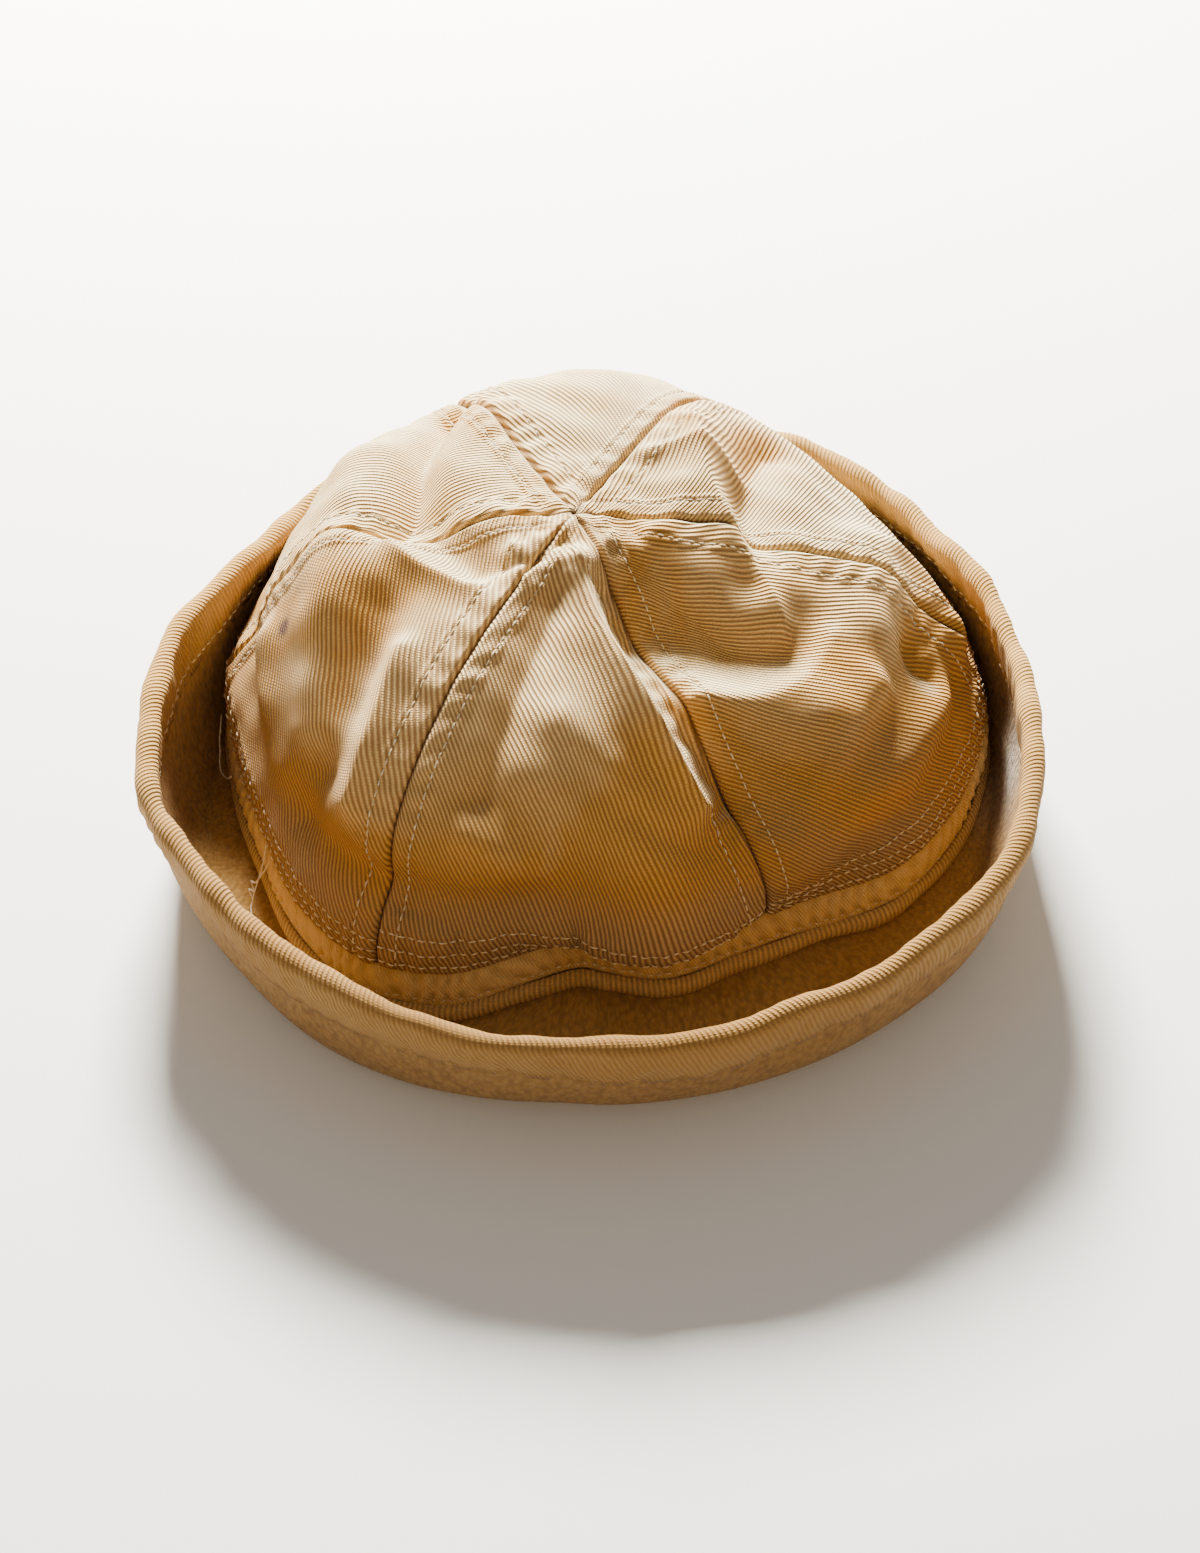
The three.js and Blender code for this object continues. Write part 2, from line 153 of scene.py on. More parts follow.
class Outline:
    """The cap's plan and profile as functions of azimuth and of the way along the cloth."""

    def __init__(self) -> None:
        """Lay the section table out in columns and the folds in polylines."""
        names = Section.__dataclass_fields__
        self.columns = {n: np.array([getattr(s, n) for s in SECTIONS], float) for n in names}
        self.fold_lines = {name: self._fold_line(fold) for name, fold in FOLDS.items()}

    def column(self, azimuth: Array, name: str) -> Array:
        """A column at any azimuth, by a closed cubic that keeps the slope between neighbours.

        Args:
            azimuth: Degrees, of any shape.
            name: A field of Section.

        Returns:
            The value at each azimuth.
        """
        angles, values = self.columns["azimuth"], self.columns[name]
        count = len(angles)
        turn = np.mod(azimuth, 360.0)
        here = (np.searchsorted(angles, turn, side="right") - 1) % count
        before, after, beyond = (here - 1) % count, (here + 1) % count, (here + 2) % count

        def gap(start: Array, end: Array) -> Array:
            """The angle from one row to a later one."""
            return np.mod(angles[end] - angles[start], 360.0)

        span = gap(here, after)
        x = np.mod(turn - angles[here], 360.0) / span
        leave = (values[after] - values[before]) / (gap(before, here) + span) * span
        arrive = (values[beyond] - values[here]) / (span + gap(after, beyond)) * span
        start = (2 * x**3 - 3 * x**2 + 1) * values[here] + (x**3 - 2 * x**2 + x) * leave
        end = (3 * x**2 - 2 * x**3) * values[after] + (x**3 - x**2) * arrive
        return start + end

    @staticmethod
    def polar(azimuth: Array, reach: Array, height: Array) -> Array:
        """Points in millimetres at a reach and height about the crown's axis."""
        turn = np.radians(azimuth)
        x = CROWN_AXIS[0] + reach * np.sin(turn)
        y = CROWN_AXIS[1] - reach * np.cos(turn)
        return np.stack(np.broadcast_arrays(x, y, height), axis=-1)

    def dome(self, azimuth: Array, along: Array) -> Array:
        """The crown without folds.

        A power ellipse: height goes with sin(a)^p and reach with cos(a)^p, where p is two over
        the fullness and a runs from just under the widest level to a quarter turn. Near the base
        the reach blends into the base outline, and towards the top the axis leans to the apex.
        """
        power = 2.0 / self.column(azimuth, "fullness")
        dome_height = APEX_HEIGHT - WIDEST_HEIGHT
        lowest = -np.arcsin(((WIDEST_HEIGHT - BAND_TOP) / dome_height) ** (1 / power))
        turn = lowest + (math.pi / 2 - lowest) * along
        climb = np.sign(np.sin(turn)) * np.abs(np.sin(turn)) ** power
        spread = np.clip(np.cos(turn), 0, 1) ** power
        domed = smooth(along, 0, ROUND_FROM)
        base, side = self.column(azimuth, "base"), self.column(azimuth, "side")
        reach = (base + (side - base) * domed) * (1 + (spread - 1) * domed)
        points = self.polar(azimuth, reach, WIDEST_HEIGHT + dome_height * climb)
        lift = np.clip((points[..., 2] - BAND_TOP) / (APEX_HEIGHT - BAND_TOP), 0, 1)
        return points + APEX_SHIFT * lift[..., None]

    def _fold_line(self, fold: Fold) -> Array:
        """Points on the dome along the parabola through a fold's three."""
        a, b, c = (np.array(p, float) for p in (fold.a, fold.b, fold.c))
        middle = 2 * b - (a + c) / 2
        t = np.linspace(0, 1, FOLD_SEGMENTS + 1)[:, None]
        line = (1 - t) ** 2 * a + 2 * t * (1 - t) * middle + t**2 * c
        return self.dome(line[:, 0], line[:, 1])

    def fold_height(self, points: Array) -> Array:
        """How far the folds move points: each adds height times exp(-(distance / width)^crisp)."""
        flat = points.reshape(-1, 3)
        total = np.zeros(len(flat))
        for name, fold in FOLDS.items():
            near = distance_to_line(flat, self.fold_lines[name])
            total += fold.height * np.exp(-((near / fold.width) ** fold.crisp))
        return total.reshape(points.shape[:-1])

    def crown(self, azimuth: Array, along: Array) -> Array:
        """The crown with its folds and a slight unevenness, in millimetres."""
        points = self.dome(azimuth, along)
        step = 1e-3
        inner = np.clip(along, step, 1 - 3 * step)
        across = self.dome(azimuth + 0.4, inner) - self.dome(azimuth - 0.4, inner)
        upward = self.dome(azimuth, inner + step) - self.dome(azimuth, inner - step)
        normal = unit(np.cross(across, upward))
        fade = smooth(along, 0, 0.06) * (1 - smooth(along, 0.9, 1))
        move = self.fold_height(points)
        move += 0.9 * ripples(points, 34, seed=3) + 0.35 * ripples(points, 13, seed=5)
        return points + normal * (move * fade)[..., None]

    def brim(self, azimuth: Array, along: Array) -> Array:
        """The brim's lower face: flat from -1 to 0, then a cubic curve that turns up to 1.

        The curve starts level at the middle of the flat part's end, bends up past the belly and
        ends at the rim. The back of a rolled brim leans in, so its rim reaches less than its belly.
        """
        base, belly = self.column(azimuth, "base"), self.column(azimuth, "belly")
        rim, rise = self.column(azimuth, "rim"), self.column(azimuth, "rise")
        turned = base + 0.5 * (belly - base)
        lip = base - 2.0
        t = np.clip(along, 0, 1)
        weights = ((1 - t) ** 3, 3 * t * (1 - t) ** 2, 3 * t**2 * (1 - t), t**3)
        reaches = (turned, belly, belly + 2.0, rim)
        reach = sum(w * r for w, r in zip(weights, reaches))
        reach = np.where(along < 0, turned + (lip - turned) * -along, reach)
        height = weights[2] * 0.38 * rise + weights[3] * rise
        return self.polar(azimuth, reach, height)


def smooth(x: Array, low: float, high: float) -> Array:
    """A smooth step from 0 at low to 1 at high."""
    t = np.clip((np.asarray(x, float) - low) / (high - low), 0, 1)
    return t * t * (3 - 2 * t)


def unit(vectors: Array) -> Array:
    """Vectors of length one, in the same directions."""
    return vectors / (np.linalg.norm(vectors, axis=-1, keepdims=True) + 1e-12)


def bell(x: Array, width: float) -> Array:
    """A bell curve of x, 1 at 0 and a third at width."""
    return np.exp(-((np.asarray(x) / width) ** 2))


def distance_to_line(points: Array, line: Array) -> Array:
    """The least distance from each of (n, 3) points to a polyline of (m, 3) points."""
    best = np.full(len(points), np.inf)
    for start, end in zip(line[:-1], line[1:]):
        way = end - start
        share = np.clip((points - start) @ way / (way @ way), 0, 1)
        best = np.minimum(best, np.linalg.norm(points - start - share[:, None] * way, axis=1))
    return best


def ripples(points: Array, wavelength: float, seed: int, waves: int = 14) -> Array:
    """A smooth random field from -1 to 1: the mean of plane waves in random directions.

    Args:
        points: Places, with x, y and z last, in the wavelength's unit.
        wavelength: The typical distance between crests.
        seed: Which field.
        waves: How many plane waves are added.

    Returns:
        The field at each place.
    """
    random = np.random.default_rng(seed)
    directions = unit(random.normal(size=(waves, 3)))
    numbers = TURN / (wavelength * random.uniform(0.75, 1.35, waves))
    phases = random.uniform(0, TURN, waves)
    return np.sin(points @ (directions * numbers[:, None]).T + phases).sum(-1) / math.sqrt(waves * 2)


def grid_normals(grid: Array, closed: bool) -> Array:
    """Unit normals of a (rows, columns, 3) grid, rows running up and columns to the right."""
    wide = np.concatenate([grid[:, -2:-1], grid, grid[:, 1:2]], axis=1) if closed else grid
    across = np.gradient(wide, axis=1)
    upward = np.gradient(wide, axis=0)
    normals = unit(np.cross(across, upward))
    return normals[:, 1:-1] if closed else normals


def sample(grid: Array, rows: Array, columns: Array) -> Array:
    """A grid's values at fractional rows and columns, by blending the four around each."""
    r0 = np.clip(np.floor(rows).astype(int), 0, grid.shape[0] - 2)
    c0 = np.clip(np.floor(columns).astype(int), 0, grid.shape[1] - 2)
    fr, fc = (rows - r0)[:, None], (columns - c0)[:, None]
    low = grid[r0, c0] * (1 - fc) + grid[r0, c0 + 1] * fc
    high = grid[r0 + 1, c0] * (1 - fc) + grid[r0 + 1, c0 + 1] * fc
    return low * (1 - fr) + high * fr


@dataclass
class Sheet:
    """A grid of cloth: places and flat pattern coordinates, in millimetres, and its tones.

    The tones, each from 0 to 1, are painted shade with soil, painted warm shade with tan, and grey.
    """

    grid: Array
    pattern: Array
    soil: Array
    closed: bool = False
    tan: Array | float = 0.0
    grey: Array | float = 0.0

    def normals(self) -> Array:
        """The sheet's outward unit normals."""
        return grid_normals(self.grid, self.closed)

    def moved(self, height: Array) -> "Sheet":
        """The sheet moved along its normals by a height at each point."""
        return replace(self, grid=self.grid + self.normals() * height[..., None])

    def turned(self, degrees: float) -> "Sheet":
        """The sheet with its flat pattern turned."""
        cos, sin = math.cos(math.radians(degrees)), math.sin(math.radians(degrees))
        return replace(self, pattern=self.pattern @ np.array([[cos, sin], [-sin, cos]]))


def mesh_from_sheet(name: str, sheet: Sheet, wall: float) -> bpy.types.Object:
    """Make a shell from a sheet: a quad per grid cell, then a wall on its inner side.

    Args:
        name: The piece's name.
        sheet: The outer face. A closed sheet's last column repeats its first.
        wall: The cloth's thickness in millimetres.

    Returns:
        The new object, with its pattern coordinates as a UV map and its tones as attributes.
    """
    rows, columns = sheet.grid.shape[:2]
    index = np.arange(rows * columns).reshape(rows, columns)
    if sheet.closed:
        index[:, -1] = index[:, 0]
    corners = np.stack([index[:-1, :-1], index[:-1, 1:], index[1:, 1:], index[1:, :-1]], axis=-1)
    where = np.arange(rows * columns).reshape(rows, columns)
    sources = np.stack([where[:-1, :-1], where[:-1, 1:], where[1:, 1:], where[1:, :-1]], axis=-1)
    used, packed = np.unique(corners.ravel(), return_inverse=True)
    mesh = bpy.data.meshes.new(name)
    mesh.from_pydata(sheet.grid.reshape(-1, 3)[used] * MM, [], packed.reshape(-1, 4).tolist())
    layer = mesh.uv_layers.new(name="pattern")
    layer.data.foreach_set("uv", sheet.pattern.reshape(-1, 2)[sources.ravel()].astype(np.float32).ravel() * MM)
    for tone in ("soil", "tan", "grey"):
        values = np.clip(np.broadcast_to(getattr(sheet, tone), (rows, columns)), 0, 1).reshape(-1)
        mesh.attributes.new(tone, "FLOAT", "POINT").data.foreach_set("value", values[used].astype(np.float32))
    mesh.polygons.foreach_set("use_smooth", np.ones(len(mesh.polygons), bool))
    mesh.update()
    piece = bpy.data.objects.new(name, mesh)
    bpy.context.scene.collection.objects.link(piece)
    shell = piece.modifiers.new("wall", "SOLIDIFY")
    shell.thickness = wall * MM
    shell.offset = -1
    shell.use_rim = True
    return piece


def mesh_from_parts(name: str, vertices: Array, faces: Array) -> bpy.types.Object:
    """Make an object from (n, 3) vertices in millimetres and (m, 3 or 4) faces."""
    mesh = bpy.data.meshes.new(name)
    mesh.from_pydata(vertices * MM, [], faces.tolist())
    mesh.polygons.foreach_set("use_smooth", np.ones(len(mesh.polygons), bool))
    mesh.update()
    piece = bpy.data.objects.new(name, mesh)
    bpy.context.scene.collection.objects.link(piece)
    return piece


def resample(path: Array, spacing: float) -> Array:
    """Fractional indices along a polyline at equal distances apart."""
    lengths = np.concatenate([[0], np.cumsum(np.linalg.norm(np.diff(path, axis=0), axis=1))])
    count = max(int(lengths[-1] / spacing), 1)
    return np.interp((np.arange(count) + 0.5) * lengths[-1] / count, lengths, np.arange(len(path)))


@dataclass
class Thread:
    """Sewing thread: its radius, and the pitch and length of a stitch, in millimetres."""

    radius: float = 0.21
    pitch: float = 2.5
    stitch: float = 2.05
    sides: int = 6
    rings: int = 6
    batches: list[tuple[Array, Array]] = field(default_factory=list)

    def sew(self, path: Array, normals: Array) -> None:
        """Lay a row of stitches along a path on the cloth.

        Each stitch is a spindle along the path: its radius swells with a power of the sine of
        the way along it, and its middle stands on the cloth while its ends dip in.
        """
        at = resample(path, self.pitch)
        low = np.clip(np.floor(at).astype(int), 0, len(path) - 2)
        share = (at - low)[:, None]
        centre = path[low] * (1 - share) + path[low + 1] * share
        up = unit(normals[low])
        forward = unit(path[np.clip(low + 2, 0, len(path) - 1)] - path[np.clip(low - 1, 0, len(path) - 1)])
        side = unit(np.cross(up, forward))
        t = np.linspace(0, 1, self.rings)
        swell = self.radius * (0.35 + 0.65 * np.sin(math.pi * t) ** 0.6)
        rise = self.radius * (1.5 * np.sin(math.pi * t) - 0.7)
        turn = np.arange(self.sides) * TURN / self.sides
        spine = centre[:, None] + forward[:, None] * ((t - 0.5) * self.stitch)[:, None] + up[:, None] * rise[:, None]
        around = side[:, None, None] * np.cos(turn)[:, None] + up[:, None, None] * np.sin(turn)[:, None]
        points = spine[:, :, None] + around * swell[:, None, None]
        self.batches.append((points.reshape(-1, 3), self._faces(len(at))))

    def _faces(self, count: int) -> Array:
        """Quads round count spindles, with the two ends closed by a quad and its neighbour."""
        ring, corner = np.meshgrid(np.arange(self.rings - 1), np.arange(self.sides), indexing="ij")
        after = (corner + 1) % self.sides
        quads = np.stack([ring * self.sides + corner, ring * self.sides + after,
                          (ring + 1) * self.sides + after, (ring + 1) * self.sides + corner], -1).reshape(-1, 4)
        first = np.array([[3, 2, 1, 0], [5, 4, 3, 0]])
        last = first[:, ::-1] + (self.rings - 1) * self.sides
        one = np.concatenate([quads, first, last])
        return (one[None] + (np.arange(count) * self.rings * self.sides)[:, None, None]).reshape(-1, 4)

    def piece(self, name: str) -> bpy.types.Object:
        """Join every stitch sewn so far into one object."""
        starts = np.cumsum([0] + [len(v) for v, _ in self.batches[:-1]])
        vertices = np.concatenate([v for v, _ in self.batches])
        faces = np.concatenate([f + s for (_, f), s in zip(self.batches, starts)])
        return mesh_from_parts(name, vertices, faces)


# ------------------------------------------------------------------ finishes


class Nodes:
    """A shader tree with short ways to add nodes and links."""

    def __init__(self, tree: bpy.types.NodeTree) -> None:
        """Work on one tree."""
        self.tree = tree

    def add(self, kind: str, inputs: dict | None = None, **settings: object) -> bpy.types.Node:
        """Add a node.

        Args:
            kind: The node's type, without ShaderNode.
            inputs: Socket name or number to a value, or to a socket to link from.
            settings: Properties of the node itself.

        Returns:
            The node.
        """
        node = self.tree.nodes.new(kind if kind.startswith("NodeGroup") else "ShaderNode" + kind)
        for key, value in settings.items():
            setattr(node, key, value)
        for key, value in (inputs or {}).items():
            if isinstance(value, bpy.types.NodeSocket):
                self.tree.links.new(value, node.inputs[key])
            else:
                node.inputs[key].default_value = value
        return node

    def math(self, operation: str, *values: object) -> bpy.types.NodeSocket:
        """The result of a Math node on up to three values or sockets."""
        node = self.add("Math", dict(enumerate(values)), operation=operation)
        return node.outputs[0]

    def blend(self, share: object, one: object, other: object, mode: str = "MIX") -> bpy.types.NodeSocket:
        """The colour of a Mix node between two colours."""
        inputs = {0: share, 6: one, 7: other}
        node = self.add("Mix", inputs, data_type="RGBA", blend_type=mode, clamp_result=False)
        return node.outputs[2]

    def noise(self, vector: object, scale: float, detail: float = 3, rough: float = 0.55) -> bpy.types.NodeSocket:
        """A noise texture's value on a vector."""
        inputs = {"Vector": vector, "Scale": scale, "Detail": detail, "Roughness": rough}
        return self.add("TexNoise", inputs).outputs["Fac"]

    def between(self, value: object, low: float, high: float) -> bpy.types.NodeSocket:
        """A value's place between low and high, from 0 to 1, smoothed."""
        inputs = {"Value": value, "From Min": low, "From Max": high}
        return self.add("MapRange", inputs, interpolation_type="SMOOTHSTEP").outputs[0]


def effect(name: str, inputs: dict[str, object], outputs: dict[str, str]) -> tuple[bpy.types.NodeTree, Nodes]:
    """Make an empty shader node group with named sockets.

    Args:
        name: The group's name.
        inputs: Socket name to its default: None for a vector, or a number.
        outputs: Socket name to its kind, "NodeSocketFloat" or "NodeSocketColor".

    Returns:
        The group and its node helper.
    """
    group = bpy.data.node_groups.new(name, "ShaderNodeTree")
    for socket, default in inputs.items():
        kind = "NodeSocketVector" if default is None else "NodeSocketFloat"
        made = group.interface.new_socket(name=socket, in_out="INPUT", socket_type=kind)
        if default is not None:
            made.default_value = default
    for socket, kind in outputs.items():
        group.interface.new_socket(name=socket, in_out="OUTPUT", socket_type=kind)
    return group, Nodes(group)


def twill_effect() -> bpy.types.NodeTree:
    """Slanted ribs with the crossing threads on them, on flat pattern coordinates in metres.

    The rib's height is the cosine of the distance across the ribs over their pitch, broken by
    finer threads that cross it at a steep angle and by a slow waver.
    """
    group, n = effect("twill weave", {"Vector": None, "Pitch": 0.00105, "Angle": 0.7, "Waver": 0.25},
                      {"Height": "NodeSocketFloat", "Rib": "NodeSocketFloat"})
    given = group.nodes.new("NodeGroupInput").outputs
    split = n.add("SeparateXYZ", {0: given["Vector"]}).outputs
    waver = n.math("MULTIPLY", n.noise(given["Vector"], 260, 2), given["Waver"])
    slow = n.math("MULTIPLY", n.noise(given["Vector"], 45, 2), 1.4)
    across = n.math("ADD", n.math("MULTIPLY", split["X"], n.math("COSINE", given["Angle"])),
                    n.math("MULTIPLY", split["Y"], n.math("SINE", given["Angle"])))
    along = n.math("SUBTRACT", n.math("MULTIPLY", split["Y"], n.math("COSINE", given["Angle"])),
                   n.math("MULTIPLY", split["X"], n.math("SINE", given["Angle"])))
    ribs = n.math("ADD", n.math("DIVIDE", across, given["Pitch"]), n.math("ADD", waver, slow))
    rib = n.math("ADD", n.math("MULTIPLY", n.math("COSINE", n.math("MULTIPLY", ribs, TURN)), 0.5), 0.5)
    crossing = n.math("ADD", n.math("DIVIDE", along, n.math("MULTIPLY", given["Pitch"], 0.62)),
                      n.math("MULTIPLY", ribs, 0.5))
    thread = n.math("ADD", n.math("MULTIPLY", n.math("COSINE", n.math("MULTIPLY", crossing, TURN)), 0.5), 0.5)
    fuzz = n.noise(given["Vector"], 2600, 2)
    height = n.math("ADD", n.math("MULTIPLY", rib, n.math("ADD", n.math("MULTIPLY", thread, 0.3), 0.7)),
                    n.math("MULTIPLY", fuzz, 0.35))
    group.links.new(height, group.nodes.new("NodeGroupOutput").inputs["Height"])
    group.links.new(rib, next(x for x in group.nodes if x.type == "GROUP_OUTPUT").inputs["Rib"])
    return group


def nap_effect() -> bpy.types.NodeTree:
    """The pebbled back of a brushed cloth: rounded cells on the pattern with finer fuzz on them."""
    group, n = effect("brushed nap", {"Vector": None, "Scale": 900.0, "Slant": 0.5},
                      {"Height": "NodeSocketFloat", "Shade": "NodeSocketFloat"})
    given = group.nodes.new("NodeGroupInput").outputs
    leaning = n.add("Mapping", {"Vector": given["Vector"], "Scale": (1.0, 0.62, 1.0)}).outputs[0]
    turned = n.add("VectorRotate", {"Vector": leaning, "Angle": given["Slant"]}, rotation_type="Z_AXIS").outputs[0]
    cells = n.add("TexVoronoi", {"Vector": turned, "Scale": given["Scale"]}, feature="SMOOTH_F1").outputs[0]
    pebble = n.math("SUBTRACT", 1.0, cells)
    fuzz = n.noise(given["Vector"], 2400, 3)
    height = n.math("ADD", n.math("MULTIPLY", pebble, 0.7), n.math("MULTIPLY", fuzz, 0.5))
    out = group.nodes.new("NodeGroupOutput")
    group.links.new(height, out.inputs["Height"])
    group.links.new(n.between(height, 0.3, 1.0), out.inputs["Shade"])
    return group


def stain_effect() -> bpy.types.NodeTree:
    """Soft uneven patches: a broad noise warped by itself, pushed towards light or dark."""
    group, n = effect("soft stain", {"Vector": None, "Scale": 18.0, "Low": 0.45, "High": 0.7},
                      {"Mask": "NodeSocketFloat"})
    given = group.nodes.new("NodeGroupInput").outputs
    broad = n.add("TexNoise", {"Vector": given["Vector"], "Scale": given["Scale"], "Detail": 4.0,
                               "Roughness": 0.6, "Distortion": 0.6}).outputs["Fac"]
    ranged = n.add("MapRange", {"Value": broad, "From Min": given["Low"], "From Max": given["High"]},
                   interpolation_type="SMOOTHSTEP").outputs[0]
    group.links.new(ranged, group.nodes.new("NodeGroupOutput").inputs["Mask"])
    return group


class Weave(Enum):
    """How a cloth's face is woven."""

    TWILL = "twill"
    NAP = "nap"


@dataclass(frozen=True)
class Cloth:
    """A cloth's finish: its colours, partly painted shade, its weave's size and slant, and its wear."""

    name: str
    weave: Weave
    light: tuple[float, float, float]
    warm: tuple[float, float, float]
    deep: tuple[float, float, float]
    worn: tuple[float, float, float] = (0.42, 0.33, 0.22)
    pitch: float = 0.00108
    angle: float = 0.66
    groove: float = 0.68
    relief: float = 0.0005
    stain_scale: float = 16.0
    roughness: float = 0.88

    def material(self, effects: dict[str, bpy.types.NodeTree]) -> bpy.types.Material:
        """Build the material.

        The colour goes from light to warm by soft stains and by a tone that is partly painted warm
        shade, towards grey by the grey tone, to deep by a tone of painted shade and soil, and darkens
        with painted shade in the weave's grooves, which also give the bump.
        """
        made = bpy.data.materials.new(self.name)
        made.use_nodes = True
        made.node_tree.nodes.clear()
        n = Nodes(made.node_tree)
        flat = n.add("UVMap", uv_map="pattern").outputs[0]
        place = n.add("TexCoord").outputs["Object"]
        soil, tan, grey = (n.add("Attribute", attribute_name=tone).outputs["Fac"] for tone in ("soil", "tan", "grey"))

        def use(key: str, inputs: dict) -> bpy.types.bpy_prop_collection:
            """The outputs of a shared effect placed in this material."""
            return n.add("Group", inputs, node_tree=effects[key]).outputs

        if self.weave is Weave.TWILL:
            outputs = use("twill", {"Vector": flat, "Pitch": self.pitch, "Angle": self.angle})
            height, shade = outputs["Height"], outputs["Rib"]
        else:
            outputs = use("nap", {"Vector": flat})
            height, shade = outputs["Height"], outputs["Shade"]
        patches = use("stain", {"Vector": place, "Scale": self.stain_scale, "Low": 0.42, "High": 0.66})["Mask"]
        specks = use("stain", {"Vector": place, "Scale": 95.0, "Low": 0.56, "High": 0.74})["Mask"]
        # Warm by soft stains and by a tone that is partly painted warm shade, grey by the grey tone, deep by painted
        # shade and soil.
        warmth = n.math("MINIMUM", n.math("ADD", n.math("MULTIPLY", patches, 0.35), tan), 1.0)
        body = n.blend(warmth, (*self.light, 1), (*self.warm, 1))
        body = n.blend(n.math("MULTIPLY", specks, 0.2), body, (*self.warm, 1))
        body = n.blend(n.math("MULTIPLY", grey, 0.8), body, (*self.worn, 1))
        body = n.blend(n.math("MINIMUM", soil, 1.0), body, (*self.deep, 1))
        # Painted shade in the weave's grooves.
        groove = n.math("MULTIPLY", n.math("SUBTRACT", 1.0, shade), self.groove)
        colour = n.blend(groove, body, (*self.deep, 1), "MULTIPLY")
        rough = n.math("ADD", n.math("MULTIPLY", shade, -0.06), self.roughness)
        bump = n.add("Bump", {"Height": height, "Distance": self.relief, "Strength": 1.0}).outputs[0]
        shader = n.add("BsdfPrincipled", {"Base Color": colour, "Roughness": rough, "Normal": bump,
                                          "Specular IOR Level": 0.12, "Sheen Weight": 0.06,
                                          "Sheen Roughness": 0.5})
        n.add("OutputMaterial", {"Surface": shader.outputs[0]})
        return made


@dataclass(frozen=True)
class ThreadFinish:
    """Cotton thread: its colour and the ply twist on it."""

    name: str
    colour: tuple[float, float, float]
    shadow: tuple[float, float, float]

    def material(self) -> bpy.types.Material:
        """Build the material: fine noise blends the two colours and roughens the surface."""
        made = bpy.data.materials.new(self.name)
        made.use_nodes = True
        made.node_tree.nodes.clear()
        n = Nodes(made.node_tree)
        place = n.add("TexCoord").outputs["Object"]
        ply = n.noise(place, 2200, 2)
        colour = n.blend(n.between(ply, 0.35, 0.7), (*self.shadow, 1), (*self.colour, 1))
        bump = n.add("Bump", {"Height": ply, "Distance": 0.0001, "Strength": 0.8}).outputs[0]
        shader = n.add("BsdfPrincipled", {"Base Color": colour, "Roughness": 0.8, "Normal": bump,
                                          "Sheen Weight": 0.2})
        n.add("OutputMaterial", {"Surface": shader.outputs[0]})
        return made


# The crown's warm colour is partly painted warm shade, and its grey colour partly painted cool shade.
CROWN_TWILL = Cloth("cream twill", Weave.TWILL, (0.95, 0.83, 0.50), (0.66, 0.34, 0.07), (0.14, 0.05, 0.01),
                    worn=(0.44, 0.31, 0.16))
# The band's colours are its cloth's tan, darkened as painted shade under the crown's overhang.
BAND_TWILL = Cloth("tan band cloth", Weave.TWILL, (0.70, 0.48, 0.20), (0.52, 0.29, 0.08), (0.12, 0.05, 0.01),
                   pitch=0.0007, angle=0.5, groove=0.2, relief=0.00018)
WELT_TWILL = Cloth("ribbed welt cloth", Weave.TWILL, (0.66, 0.44, 0.18), (0.48, 0.26, 0.07), (0.10, 0.04, 0.01),
                   pitch=0.0013, angle=0.05, groove=0.45, relief=0.0004)
# The brim's and the rim's colours are their cloth's tan, darkened as painted shade of the brim's outer face.
BRIM_CLOTH = Cloth("brushed brim cloth", Weave.NAP, (0.46, 0.26, 0.075), (0.35, 0.16, 0.025), (0.10, 0.04, 0.01),
                   worn=(0.55, 0.50, 0.44), groove=0.45, relief=0.0007, stain_scale=22.0)
RIM_TWILL = Cloth("rim twill", Weave.TWILL, (0.46, 0.26, 0.075), (0.36, 0.17, 0.028), (0.12, 0.05, 0.01),
                  pitch=0.00118, angle=0.35, groove=0.3, relief=0.0003, stain_scale=22.0)
SEWING = ThreadFinish("cotton thread", (0.78, 0.66, 0.45), (0.50, 0.36, 0.18))
LOOSE = ThreadFinish("loose white thread", (0.85, 0.80, 0.68), (0.60, 0.50, 0.34))


# ------------------------------------------------------------------ the pieces


def keep(piece: bpy.types.Object, material: bpy.types.Material, slot: str, *nodes: str) -> bpy.types.Object:
    """Dress a piece, let it ride on the cap and hide the solids it stands for."""
    piece.data.materials.append(material)
    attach(piece, "root")
    if nodes:
        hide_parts(*nodes)
    LOG.info("%s: %d faces", piece.name, len(piece.data.polygons))
    return piece


@dataclass(frozen=True)
class Gore:
    """One gore of the crown between two seams, and how far its weave is turned, in degrees."""

    node: str
    start: float
    end: float
    turn: float


GORES = (
    Gore("crown_gore_front", -31, 27, 17),
    Gore("crown_gore_front_right", 27, 88, 3),
    Gore("crown_gore_back_right", 88, 150, 0),
    Gore("crown_gore_back", 150, 208, 0),
    Gore("crown_gore_back_left", 208, 270, 0),
    Gore("crown_gore_front_left", 270, 329, -10),
)


